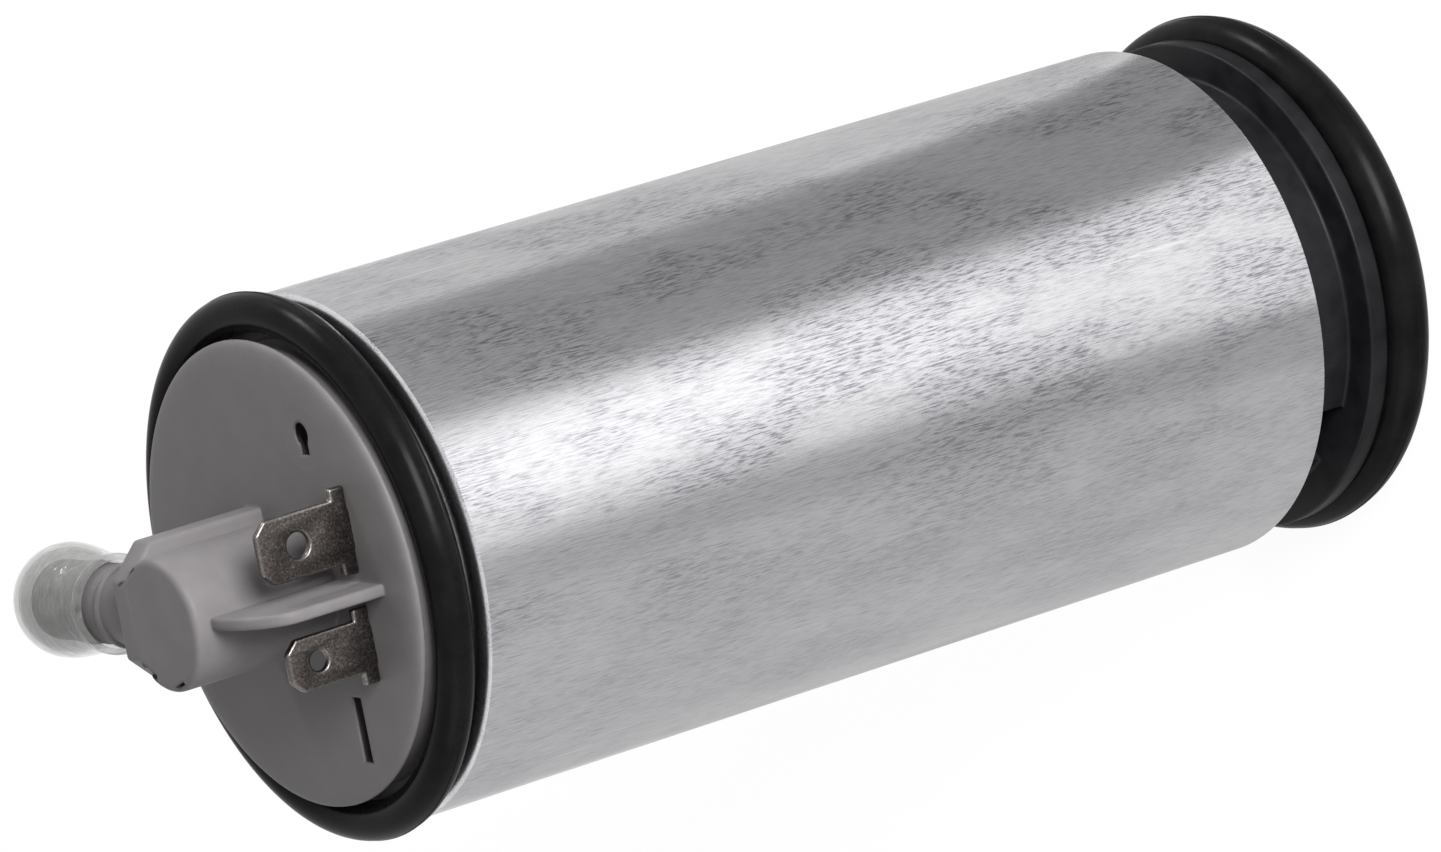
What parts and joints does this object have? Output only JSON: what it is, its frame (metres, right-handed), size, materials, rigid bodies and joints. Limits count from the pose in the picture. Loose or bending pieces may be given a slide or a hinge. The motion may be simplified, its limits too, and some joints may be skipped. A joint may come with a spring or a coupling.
{
  "type": "in-tank electric fuel pump",
  "caption": "Electric in-tank fuel pump: brushed metal can, grey outlet cover with side nipple, clear cap and blade terminals, black inlet end and fat rubber seal rings.",
  "frame": {"origin": "centre of the flat inlet end, which the pump stands on", "axes": "+Z along the shaft from the inlet end to the outlet cover, +X to the side of the blade terminals, the outlet nipple points along -X"},
  "size_m": [0.0548, 0.0546, 0.1409],
  "materials": {
    "can_metal": "brushed, fine axial streaks",
    "cover_plastic": "moulded, satin",
    "clear_cap": "clear soft plastic",
    "tinned_blade": "tin plated",
    "ring_rubber": "smooth black",
    "gasket_rubber": "matt black",
    "housing_plastic": "moulded black",
    "strainer_plastic": "woven nylon in a moulded rim",
    "pump_body_metal": "die cast",
    "impeller_plastic": "phenolic",
    "button_ceramic": "polished",
    "bearing_bronze": "sintered bronze",
    "shaft_steel": "ground",
    "flux_steel": "rolled, phosphated",
    "magnet_ferrite": "sintered ferrite",
    "spring_steel": "drawn wire",
    "core_steel": "stacked laminations",
    "winding_copper": "enamelled copper",
    "contact_carbon": "pressed carbon",
    "valve_plastic": "natural acetal",
    "valve_rubber": "fluorocarbon rubber"
  },
  "bodies": {
    "housing": {"pump_can": "can_metal", "outlet_cover": "cover_plastic", "terminal_large": "tinned_blade", "terminal_small": "tinned_blade", "front_seal_ring": "ring_rubber", "rear_seal_ring": "ring_rubber", "cover_gasket": "gasket_rubber", "inlet_gasket": "gasket_rubber", "inlet_housing": "housing_plastic", "inlet_strainer": "strainer_plastic", "pump_inlet_body": "pump_body_metal", "pump_outlet_body": "pump_body_metal", "thrust_button": "button_ceramic", "lower_bearing": "bearing_bronze", "upper_bearing": "bearing_bronze", "flux_ring": "flux_steel", "magnet_north": "magnet_ferrite", "magnet_south": "magnet_ferrite", "magnet_clip_front": "spring_steel", "magnet_clip_back": "spring_steel", "brush_spring_positive": "spring_steel", "brush_spring_negative": "spring_steel", "brush_lead_positive": "winding_copper", "brush_lead_negative": "winding_copper", "choke_core_large": "magnet_ferrite", "choke_core_small": "magnet_ferrite", "choke_coil_large": "winding_copper", "choke_coil_small": "winding_copper", "check_valve_seat": "valve_plastic", "check_valve_guide": "valve_plastic", "check_valve_spring": "spring_steel", "relief_valve_seat": "bearing_bronze", "relief_valve_spring": "spring_steel"},
    "rotor": {"shaft": "shaft_steel", "armature_core": "core_steel", "armature_winding": "winding_copper", "commutator": "contact_carbon", "impeller": "impeller_plastic"},
    "check_valve": {"check_valve_poppet": "valve_rubber"},
    "relief_valve": {"relief_valve_ball": "spring_steel"},
    "brush_positive_body": {"brush_positive": "contact_carbon"},
    "brush_negative_body": {"brush_negative": "contact_carbon"},
    "dust_cap": {"outlet_dust_cap": "clear_cap"}
  },
  "joints": [
    {"name": "rotor_spin", "type": "hinge", "parent": "housing", "child": "rotor", "pos_m": [0, 0, 0.07], "axis": [0, 0, 1], "continuous": true},
    {"name": "check_valve_lift", "type": "slide", "parent": "housing", "child": "check_valve", "axis": [0, 0, 1], "range_m": [0, 0.002], "stiffness_N_per_m": 80, "springref_m": -0.006, "deforming": ["check_valve_spring"]},
    {"name": "relief_valve_lift", "type": "slide", "parent": "housing", "child": "relief_valve", "axis": [0, 0, 1], "range_m": [0, 0.0012], "stiffness_N_per_m": 1600, "springref_m": -0.002, "deforming": ["relief_valve_spring"]},
    {"name": "brush_positive_lift", "type": "slide", "parent": "housing", "child": "brush_positive_body", "axis": [0, 0, 1], "range_m": [0, 0.0025], "stiffness_N_per_m": 250, "springref_m": -0.006, "deforming": ["brush_spring_positive", "brush_lead_positive"]},
    {"name": "brush_negative_lift", "type": "slide", "parent": "housing", "child": "brush_negative_body", "axis": [0, 0, 1], "range_m": [0, 0.0025], "stiffness_N_per_m": 250, "springref_m": -0.006, "deforming": ["brush_spring_negative", "brush_lead_negative"]},
    {"name": "dust_cap_pull", "type": "slide", "parent": "housing", "child": "dust_cap", "axis": [-1, 0, 0], "range_m": [0, 0.012]}
  ]
}
